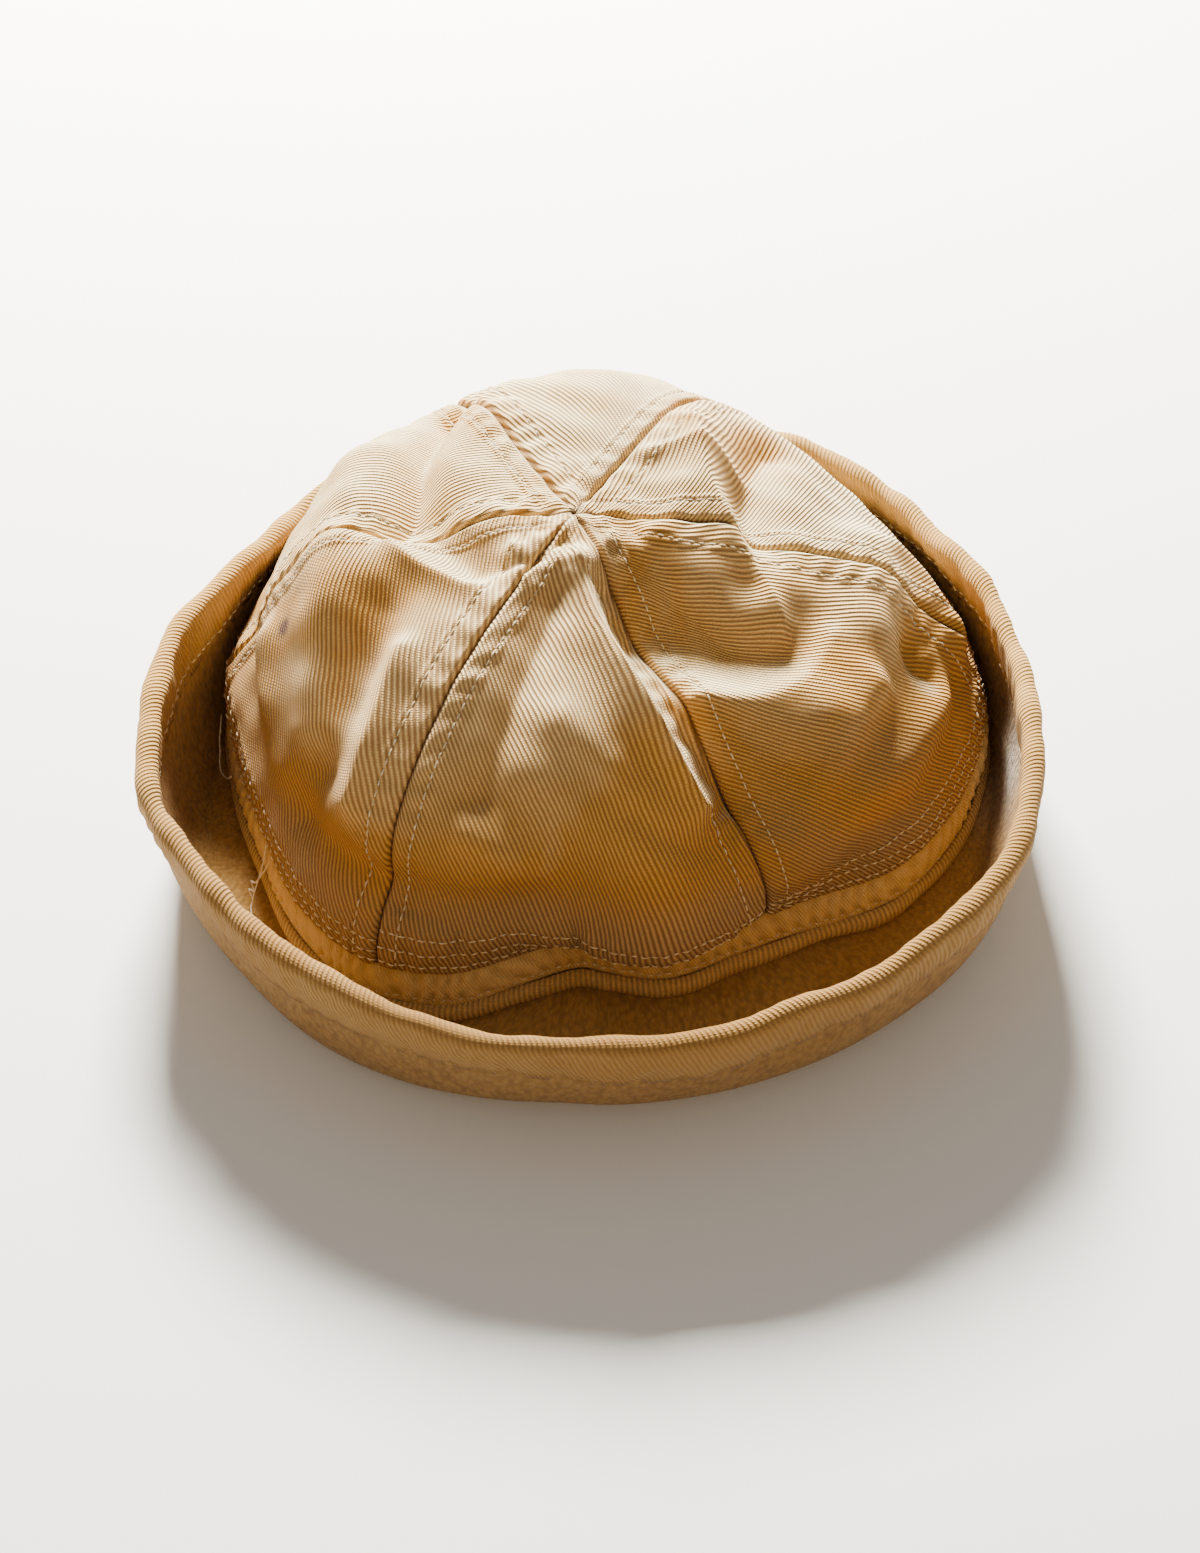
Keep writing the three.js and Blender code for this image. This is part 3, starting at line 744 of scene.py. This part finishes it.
@dataclass
class Crown:
    """The six gores, their seams, the folded base edge and its rows of stitches."""

    outline: Outline
    wall: float = 1.3
    columns: int = 116
    rows: int = 150
    start_row: tuple[float, float] = (5.0, 6.2)
    base_rows: tuple[float, ...] = (2.6, 6.0, 9.6)
    tip: float = 0.998
    thread: Thread = field(default_factory=Thread)

    def sheet(self, gore: Gore) -> Sheet:
        """The outer face of a gore.

        Columns run from seam to seam, closer together near the seams, and rows from the base to
        the tip. The flat pattern is the distance from the middle line and the distance up it.
        """
        x = np.linspace(0, 1, self.columns)
        share = x - 0.09 * np.sin(TURN * x)
        along = np.linspace(0, 1, self.rows) ** 0.92 * self.tip
        azimuth = gore.start + (gore.end - gore.start) * share[None, :]
        along_grid = np.broadcast_to(along[:, None], (self.rows, self.columns))
        azimuth_grid = np.broadcast_to(azimuth, along_grid.shape)
        plain = self.outline.dome(azimuth_grid, along_grid)
        grid = self.outline.crown(azimuth_grid, along_grid)
        steps = np.linalg.norm(np.diff(plain, axis=1), axis=-1)
        across = np.concatenate([np.zeros((self.rows, 1)), np.cumsum(steps, axis=1)], axis=1)
        width = across[:, -1:]
        climbs = np.linalg.norm(np.diff(plain[:, self.columns // 2], axis=0), axis=-1)
        up = np.broadcast_to(np.concatenate([[0], np.cumsum(climbs)])[:, None], across.shape)
        pattern = np.stack([across - width / 2, up], axis=-1)
        shell = Sheet(grid, pattern, np.zeros_like(across))
        relief, soil = self.relief(across, width - across, up, grid, gore)
        shell = shell.moved(relief)
        tan, grey, rust = self.tones(shell, up)
        return replace(shell, soil=soil + rust, tan=tan, grey=grey)

    def tones(self, shell: Sheet, up: Array) -> tuple[Array, Array, Array]:
        """Where the cloth is coloured warm, grey and rust.

        The faces turned to the front, more so low down, are coloured warm as painted warm shade;
        low down soft tan patches are added, and the top and the back stay cream. The lowest part of
        the front and soft diagonal bands on its right are grey: painted cool shade as well as
        handling. One small rust spot sits on the left, with tan round it.
        """
        normals = shell.normals()
        # Faces turned to the front get painted warm shade, stronger low down; soft tan patches are added low down.
        facing = 0.3 * np.abs(normals[..., 0]) - normals[..., 1]
        low = 1 - smooth(shell.grid[..., 2], 30, 74)
        patches = 0.5 + 0.5 * ripples(shell.grid, 38, seed=61)
        tan = smooth(facing, -0.45, 0.45) * (0.7 + 0.3 * low) + 0.2 * low * patches
        front = smooth(-shell.grid[..., 1], 5, 45)
        diagonal = 0.5 + 0.5 * np.sin((shell.grid[..., 0] + 1.6 * shell.grid[..., 2]) / 5.5)
        right = smooth(shell.grid[..., 0], 20, 55)
        # Grey low on the front and in diagonal bands on its right: painted cool shade as well as handling.
        grey = front * (1 - smooth(up, 12, 26)) * (0.65 + 0.35 * patches)
        grey += 0.55 * right * front * (1 - smooth(up, 30, 62)) * diagonal
        spot = np.linalg.norm(shell.grid - self.outline.crown(np.array(-77.0), np.array(0.40)), axis=-1)
        return tan + 0.9 * bell(spot, 5.0), grey, 1.6 * bell(spot, 2.2)

    def relief(self, left: Array, right: Array, up: Array, grid: Array, gore: Gore) -> tuple[Array, Array]:
        """How the seams and rows of stitches shape the cloth, and how dark the cloth is painted there.

        Next to each seam the cloth dives into a ditch, then lies higher over the allowance
        folded under it, which ends past the row of stitches. Between ditch and row it puckers.

        Args:
            left: Distance from the seam on the left.
            right: Distance from the seam on the right.
            up: Distance up from the base edge.
            grid: The places, for the unevenness.
            gore: The gore.

        Returns:
            The height to add and the darkening from 0 to 1, mostly painted shade.
        """
        height = np.zeros_like(left)
        soil = np.zeros_like(left)
        for distance, row, seed in ((left, self.start_row[0], gore.start), (right, self.start_row[1], gore.end)):
            wander = ripples(grid, 30, seed=11)
            pucker = np.sin(TURN * (up / 7.5 + 0.6 * wander + seed / 7)) * smooth(distance, 0.6, 2.4)
            pucker = pucker * (1 - smooth(distance, row - 0.5, row + 3.5)) * (0.35 + 0.4 * ripples(grid, 40, seed=12) ** 2)
            height += 0.42 * (1 - smooth(distance, row + 0.7, row + 1.8)) + 0.6 * pucker
            height -= 0.35 * bell(distance - row, 0.7)
            height -= (0.2 + 1.2 * smooth(up.max() - up, 1, 9)) * bell(distance, 0.75)
            # Painted shade in the seam's ditch and along its row of stitches.
            soil += 0.75 * bell(distance, 0.33) + 0.10 * bell(distance - row, 0.9)
        for row in self.base_rows:
            quilt = np.sin(TURN * (pattern_turn(grid) / 4.2 + 0.8 * ripples(grid, 22, seed=21)))
            height += -0.42 * bell(up - row, 0.55) + 0.30 * quilt * bell(up - row, 1.6)
            # Painted shade along each row of stitches at the base.
            soil += 0.12 * bell(up - row, 0.5)
        height += 0.35 * (1 - smooth(up, 11.0, 12.0)) - 1.1 * bell(up, 0.8)
        # Darker towards the base, with painted shade in the fold at the base edge.
        soil += 0.18 * (1 - smooth(up, 2, 16)) + 0.55 * bell(up, 0.45)
        apex = up.max() - up
        gather = np.tanh(ripples(grid, 7.5, seed=31) + 0.5 * ripples(grid, 4.2, seed=32))
        height += 0.75 * gather * (1 - smooth(apex, 9, 26)) * smooth(apex, 0.5, 3)
        return height, soil

    def stitch_rows(self, sheet: Sheet) -> None:
        """Sew a row beside each seam and the rows along the base of a gore."""
        normals = sheet.normals()
        rows = np.arange(sheet.grid.shape[0], dtype=float)
        across = sheet.pattern[:, :, 0] - sheet.pattern[:, :1, 0]
        width = across[:, -1]
        for side, inset in enumerate(self.start_row):
            goal = np.full_like(width, inset) if side == 0 else width - inset
            ok = (width > 2.2 * inset) & (sheet.pattern[:, 0, 1] > 1.5)
            columns = np.array([np.interp(g, a, np.arange(len(a))) for g, a in zip(goal, across)])
            self.thread.sew(sample(sheet.grid, rows[ok], columns[ok]), sample(normals, rows[ok], columns[ok]))
        columns = np.arange(1.0, self.columns - 1)
        for height in self.base_rows:
            row = np.full_like(columns, np.interp(height, sheet.pattern[:, 0, 1], rows))
            self.thread.sew(sample(sheet.grid, row, columns), sample(normals, row, columns))

    def build(self, cloth: bpy.types.Material, thread: bpy.types.Material) -> None:
        """Make the gores and their stitches."""
        for gore in GORES:
            sheet = self.sheet(gore)
            piece = mesh_from_sheet(gore.node + "_cloth", sheet.turned(gore.turn), self.wall)
            keep(piece, cloth, "crown_twill", gore.node)
            self.stitch_rows(sheet)
        keep(self.thread.piece("crown_stitches"), thread, "crown_twill")


def pattern_turn(grid: Array) -> Array:
    """The distance round the cap, in millimetres, at a middling reach."""
    return np.arctan2(grid[..., 0] - CROWN_AXIS[0], CROWN_AXIS[1] - grid[..., 1]) * 92.0


@dataclass
class Base:
    """The puckered band under the gores and the ribbed welt at its foot."""

    outline: Outline
    columns: int = 1280
    wall: float = 1.4
    thread: Thread = field(default_factory=lambda: Thread(radius=0.19, pitch=2.3, stitch=1.9))

    def ring(self, heights: Array, proud: Array) -> Sheet:
        """A closed ring standing on the base outline.

        Args:
            heights: The height of each row, from foot to top.
            proud: How far each row stands outside the outline.

        Returns:
            The ring's outer face, whose pattern is the distance round and up.
        """
        azimuth = np.linspace(0, 360, self.columns + 1)[None, :]
        lean = (BAND_TOP - heights) / BAND_TOP
        reach = self.outline.column(azimuth, "base") + (proud + lean)[:, None]
        grid = self.outline.polar(azimuth, reach, heights[:, None])
        steps = np.linalg.norm(np.diff(grid[0], axis=0), axis=-1)
        around = np.broadcast_to(np.concatenate([[0], np.cumsum(steps)]), grid.shape[:2])
        up = np.broadcast_to(heights[:, None], around.shape)
        return Sheet(grid, np.stack([around, up], axis=-1), np.zeros_like(around), closed=True)

    def band(self) -> Sheet:
        """The band: a plain strip that bellies a little and puckers along its two edges."""
        heights = np.linspace(7.6, BAND_TOP + 0.6, 22)
        share = (heights - heights[0]) / (heights[-1] - heights[0])
        sheet = self.ring(heights, 0.7 * np.sin(math.pi * share) - 0.5 * smooth(share, 0.85, 1))
        around, up = sheet.pattern[..., 0], sheet.pattern[..., 1]
        wander = ripples(sheet.grid, 26, seed=41)
        pucker = np.sin(TURN * (around / 4.6 + 0.9 * wander)) * (0.55 + 0.3 * ripples(sheet.grid, 15, seed=42))
        edges = 0.8 * bell(up - heights[0] - 3.4, 1.7) + 0.8 * bell(up - heights[-1] + 2.4, 1.8)
        height = pucker * edges + 0.5 * ripples(sheet.grid, 30, seed=43)
        height -= 0.3 * bell(up - 9.4, 0.5)
        sheet = sheet.moved(height)
        # Painted shade along the band's two edges and in the valleys of its puckers.
        sheet.soil = 0.30 * bell(up - heights[-1], 1.6) + 0.25 * bell(up - heights[0], 1.0)
        sheet.soil = sheet.soil + 0.3 * bell(pucker + 0.5, 0.3) * edges
        return sheet

    def welt(self) -> Sheet:
        """The welt: a rounded ribbed roll between the band and the brim."""
        heights = np.linspace(2.2, 8.3, 14)
        share = (heights - heights[0]) / (heights[-1] - heights[0])
        sheet = self.ring(heights, 0.6 + 1.3 * np.sin(math.pi * share) ** 0.7)
        sheet = sheet.moved(0.4 * ripples(sheet.grid, 24, seed=44))
        # Painted shade where the welt tucks in at its top and its foot.
        sheet.soil = 0.35 * bell(share - 1, 0.16)[:, None] + 0.3 * bell(share, 0.2)[:, None] + 0 * sheet.soil
        return sheet

    def build(self, band: bpy.types.Material, welt: bpy.types.Material, thread: bpy.types.Material) -> None:
        """Make the band, the welt and the row of stitches between them."""
        band_sheet, welt_sheet = self.band(), self.welt()
        keep(mesh_from_sheet("band_cloth", band_sheet, self.wall), band, "band_twill", "crown_band")
        keep(mesh_from_sheet("welt_cloth", welt_sheet, self.wall), welt, "band_twill", "band_welt")
        normals = band_sheet.normals()
        for height in (9.4,):
            row = int(np.argmin(np.abs(band_sheet.pattern[:, 0, 1] - height)))
            self.thread.sew(band_sheet.grid[row], normals[row])
        keep(self.thread.piece("band_stitches"), thread, "band_twill")


@dataclass
class Brim:
    """The turned-up brim and the ribbed edge round its rim."""

    outline: Outline
    columns: int = 720
    wall: float = 2.4
    roll: float = 2.7
    foot: float = 0.44
    thread: Thread = field(default_factory=lambda: Thread(radius=0.2, pitch=2.8, stitch=2.3))

    def face(self, alongs: Array) -> Array:
        """The brim's lower face on a closed grid, with its slow waves, in millimetres."""
        azimuth = np.linspace(0, 360, self.columns + 1)[None, :]
        along = np.broadcast_to(alongs[:, None], (len(alongs), self.columns + 1))
        grid = self.outline.brim(np.broadcast_to(azimuth, along.shape), along)
        loose = smooth(along, 0.3, 1.0)
        wave = 1.3 * ripples(grid, 60, seed=51) + 0.6 * ripples(grid, 25, seed=52)
        outward = unit(grid * [1, 1, 0] - CROWN_AXIS)
        lift = 0.9 * ripples(grid, 42, seed=53) + 0.4 * ripples(grid, 16, seed=54)
        return grid + outward * (wave * loose)[..., None] + np.array([0, 0, 1.0]) * (lift * loose)[..., None]

    def sheet(self) -> Sheet:
        """The brim's outer face, from inside the band over the floor and up to the rim's edge."""
        alongs = np.concatenate([np.linspace(-1, 0, 14)[:-1], np.linspace(0, 0.93, 44)])
        grid = self.face(alongs)
        steps = np.linalg.norm(np.diff(grid[20], axis=0), axis=-1)
        around = np.broadcast_to(np.concatenate([[0], np.cumsum(steps)]), grid.shape[:2])
        climbs = np.linalg.norm(np.diff(grid[:, 0], axis=0), axis=-1)
        out = np.broadcast_to(np.concatenate([[0], np.cumsum(climbs)])[:, None], grid.shape[:2])
        # Painted shade in the trough beside the welt, under the rim's roll and, on the turned-up part, at the front.
        soil = 0.35 * bell(out, 9.0) + 0.2 * bell(out - out.max(), 2.0)
        soil = soil + self.handled() * smooth(alongs, 0.1, 0.4)[:, None]
        # A paler grey patch on the right of the brim.
        patch = np.linalg.norm(grid - self.outline.brim(np.array(78.0), np.array(0.55)), axis=-1)
        return Sheet(grid, np.stack([around, out], axis=-1), soil, closed=True, grey=bell(patch, 14.0))

    def binding(self) -> Sheet:
        """The rim's roll: a flattened loop carried round the top of the brim.

        The loop's centre line follows the brim's last stretch. Across it, the outline is a
        rounded hem: up the outer face, round the top in half a circle, and down the inner face.
        """
        alongs = np.linspace(0.80, 1.0, 9)
        outer = self.face(alongs)
        wide = np.concatenate([outer[:, -2:-1], outer, outer[:, 1:2]], axis=1)
        normals = unit(np.cross(np.gradient(wide, axis=1), np.gradient(wide, axis=0)))[:, 1:-1]
        middle = outer - normals * (self.wall / 2)
        top, top_normal = middle[-1], normals[-1]
        upward = unit(middle[-1] - middle[-2])
        half = self.roll * (1 + 0.12 * ripples(top, 14, seed=55) + 0.10 * ripples(top, 37, seed=56))[:, None]
        rows = [middle[k] + normals[k] * (half * (self.foot + (1 - self.foot) * smooth(k, 0, 6))) for k in range(8)]
        for angle in np.linspace(0, math.pi, 11):
            rows.append(top + top_normal * half * math.cos(angle) + upward * half * 0.85 * math.sin(angle))
        rows += [middle[k] - normals[k] * (half * (self.foot + (1 - self.foot) * smooth(k, 0, 6))) for k in range(7, -1, -1)]
        grid = np.stack(rows)
        steps = np.linalg.norm(np.diff(top, axis=0), axis=-1)
        around = np.broadcast_to(np.concatenate([[0], np.cumsum(steps)]), grid.shape[:2])
        climbs = np.linalg.norm(np.diff(grid[:, 0], axis=0), axis=-1)
        out = np.broadcast_to(np.concatenate([[0], np.cumsum(climbs)])[:, None], grid.shape[:2])
        sheet = Sheet(grid, np.stack([around, out], axis=-1), np.zeros_like(around), closed=True)
        pucker = 0.22 * np.sin(TURN * (around / 6.5 + 0.8 * ripples(grid, 25, seed=57)))
        sheet = sheet.moved(pucker * smooth(np.abs(out - out.max() / 2), 2, 6))
        # Painted shade along the roll's two edges and at the front.
        sheet.soil = 0.3 * bell(out, 1.5) + 0.3 * bell(out - out.max(), 1.5) + self.handled()
        return sheet

    def handled(self) -> Array:
        """How dark painted shade makes the turned-up brim round the cap: most at the front."""
        azimuth = np.linspace(0, TURN, self.columns + 1)[None, :]
        return 0.50 * smooth(np.cos(azimuth), 0.1, 0.8)

    def build(self, cloth: bpy.types.Material, rim: bpy.types.Material, thread: bpy.types.Material) -> None:
        """Make the brim, its edge and the hem's row of stitches."""
        brim, binding = self.sheet(), self.binding()
        keep(mesh_from_sheet("brim_cloth", brim, self.wall), cloth, "brim_cloth", "brim")
        keep(mesh_from_sheet("rim_roll", binding, 0.9), rim, "rim_twill", "rim_binding")
        normals = binding.normals()
        inner_row = binding.grid.shape[0] - 3
        self.thread.sew(binding.grid[inner_row], normals[inner_row])
        keep(self.thread.piece("rim_stitches"), thread, "rim_twill")


# Each loose thread as places on its way: azimuth, reach from the crown's axis, and height.
LOOSE_ENDS = {
    "long thread": ((-66, 91, 30), (-60, 92, 29), (-57, 94, 27), (-56, 96.5, 21), (-56.8, 100, 13),
                    (-57.5, 102.5, 8.5), (-58.2, 103.2, 8), (-57.2, 103.6, 6.5), (-57.9, 104.2, 6),
                    (-56.6, 104.6, 4.6), (-55.3, 106.5, 4.0), (-51.5, 108.5, 3.6)),
    "second thread": ((-62, 92, 28), (-59, 96, 22), (-57.6, 100.5, 12), (-57.0, 103.4, 7), (-56.2, 105, 4.6)),
    "side loop": ((-88, 99.2, 16), (-84, 100, 11), (-80, 100.2, 9), (-76, 99, 13), (-74, 98, 17)),
    "short end": ((-48.2, 109, 3.8), (-47.6, 107, 4.6), (-46.9, 104.6, 4.0)),
    "lower short end": ((-45.1, 110.2, 3.8), (-44, 108.6, 4.8), (-43.2, 107, 4.1)),
}


@dataclass
class LooseThreads:
    """Threads worked loose on the left, lying over the band and on the brim."""

    radius: float = 0.17
    sides: int = 6
    steps: int = 12

    def tube(self, ends: Array) -> tuple[Array, Array]:
        """A tube through a few places: a smooth curve, with rings of corners square to it."""
        count = (len(ends) - 1) * self.steps + 1
        at = np.linspace(0, len(ends) - 1, count)
        k = np.minimum(at.astype(int), len(ends) - 2)
        t = (at - k)[:, None]
        wide = np.concatenate([2 * ends[:1] - ends[1:2], ends, 2 * ends[-1:] - ends[-2:-1]])
        p0, p1, p2, p3 = (wide[k + j] for j in range(4))
        path = 0.5 * (2 * p1 + (p2 - p0) * t + (2 * p0 - 5 * p1 + 4 * p2 - p3) * t**2
                      + (3 * p1 - p0 - 3 * p2 + p3) * t**3)
        path += 0.12 * np.stack([ripples(path, 5, seed=s) for s in (71, 72, 73)], axis=-1)
        forward = unit(np.gradient(path, axis=0))
        side = unit(np.cross(forward, [0.3, 0.2, 1.0]))
        up = np.cross(side, forward)
        turn = np.arange(self.sides) * TURN / self.sides
        radius = self.radius * np.sqrt(np.clip(np.minimum(np.arange(count), count - 1 - np.arange(count)) / 2, 0.05, 1))
        ring = side[:, None] * np.cos(turn)[:, None] + up[:, None] * np.sin(turn)[:, None]
        points = path[:, None] + ring * radius[:, None, None]
        row, corner = np.meshgrid(np.arange(count - 1), np.arange(self.sides), indexing="ij")
        after = (corner + 1) % self.sides
        faces = np.stack([row * self.sides + corner, row * self.sides + after,
                          (row + 1) * self.sides + after, (row + 1) * self.sides + corner], -1).reshape(-1, 4)
        first = np.array([[3, 2, 1, 0], [5, 4, 3, 0]])
        return points.reshape(-1, 3), np.concatenate([faces, first, first[:, ::-1] + (count - 1) * self.sides])

    def build(self, thread: bpy.types.Material) -> None:
        """Make the loose threads as one object."""
        vertices, faces = [], []
        for places in LOOSE_ENDS.values():
            azimuth, reach, height = np.array(places, float).T
            points, quads = self.tube(Outline.polar(azimuth, reach, height))
            faces.append(quads + sum(map(len, vertices)))
            vertices.append(points)
        piece = mesh_from_parts("loose_threads", np.concatenate(vertices), np.concatenate(faces))
        keep(piece, thread, "crown_twill")


# ------------------------------------------------------------------ floor, light and camera


@dataclass(frozen=True)
class Lamp:
    """A soft rectangular light: where it hangs, how wide it is, its power and its colour."""

    name: str
    place: tuple[float, float, float]
    width: float
    power: float
    colour: tuple[float, float, float]


@dataclass(frozen=True)
class Studio:
    """The floor, the lights and the camera."""

    aim: tuple[float, float, float] = (0.00199, 0.0089, -0.00284)
    distance: float = 0.70
    elevation: float = 46.0
    lens: float = 62.15
    lamps: tuple[Lamp, ...] = (
        Lamp("window", (-0.12, 0.93, 0.66), 0.32, 140.0, (1.0, 0.97, 0.87)),
        Lamp("bounce", (0.10, -0.9, 0.50), 0.9, 2.3, (1.0, 0.68, 0.34)),
    )

    def floor(self) -> None:
        """Lay a plain pale floor with a faint unevenness."""
        half = 3.0
        corners = np.array([[-half, -half, 0], [half, -half, 0], [half, half, 0], [-half, half, 0]])
        plane = mesh_from_parts("floor", corners / MM, np.array([[0, 1, 2, 3]]))
        made = bpy.data.materials.new("pale floor")
        made.use_nodes = True
        made.node_tree.nodes.clear()
        n = Nodes(made.node_tree)
        patches = n.noise(n.add("TexCoord").outputs["Object"], 3.0, 2)
        colour = n.blend(patches, (0.82, 0.82, 0.81, 1), (0.79, 0.79, 0.78, 1))
        shader = n.add("BsdfPrincipled", {"Base Color": colour, "Roughness": 0.9})
        n.add("OutputMaterial", {"Surface": shader.outputs[0]})
        plane.data.materials.append(made)

    def light(self) -> None:
        """Hang the lamps, all pointing at the cap, and set a soft sky."""
        for lamp in self.lamps:
            data = bpy.data.lights.new(lamp.name, "AREA")
            data.shape, data.size, data.energy, data.color = "SQUARE", lamp.width, lamp.power, lamp.colour
            hung = bpy.data.objects.new(lamp.name, data)
            hung.location = lamp.place
            hung.rotation_euler = (Vector((0, 0, 0.04)) - Vector(lamp.place)).to_track_quat("-Z", "Y").to_euler()
            bpy.context.scene.collection.objects.link(hung)
        world = bpy.data.worlds.new("sky")
        world.use_nodes = True
        back = world.node_tree.nodes["Background"]
        back.inputs["Color"].default_value = (1.0, 0.96, 0.90, 1)
        back.inputs["Strength"].default_value = 0.38
        bpy.context.scene.world = world

    def camera(self) -> None:
        """Place the camera in front of the cap, looking down at it."""
        turn = math.radians(self.elevation)
        aim = Vector(self.aim)
        place = aim + Vector((0, -math.cos(turn), math.sin(turn))) * self.distance
        data = bpy.data.cameras.new("camera")
        data.lens, data.sensor_width, data.clip_start = self.lens, 36.0, 0.01
        camera = bpy.data.objects.new("camera", data)
        camera.location = place
        camera.rotation_euler = (aim - place).to_track_quat("-Z", "Y").to_euler()
        bpy.context.scene.collection.objects.link(camera)
        bpy.context.scene.camera = camera


def main() -> None:
    """Build the studio and the cap."""
    logging.basicConfig(level=logging.INFO, format="%(message)s")
    studio = Studio()
    studio.camera()
    studio.floor()
    studio.light()
    effects = {"twill": twill_effect(), "nap": nap_effect(), "stain": stain_effect()}
    thread = SEWING.material()
    outline = Outline()
    Crown(outline).build(CROWN_TWILL.material(effects), thread)
    Base(outline).build(BAND_TWILL.material(effects), WELT_TWILL.material(effects), thread)
    LooseThreads().build(LOOSE.material())
    Brim(outline).build(BRIM_CLOTH.material(effects), RIM_TWILL.material(effects), thread)


if __name__ == "__main__":
    main()
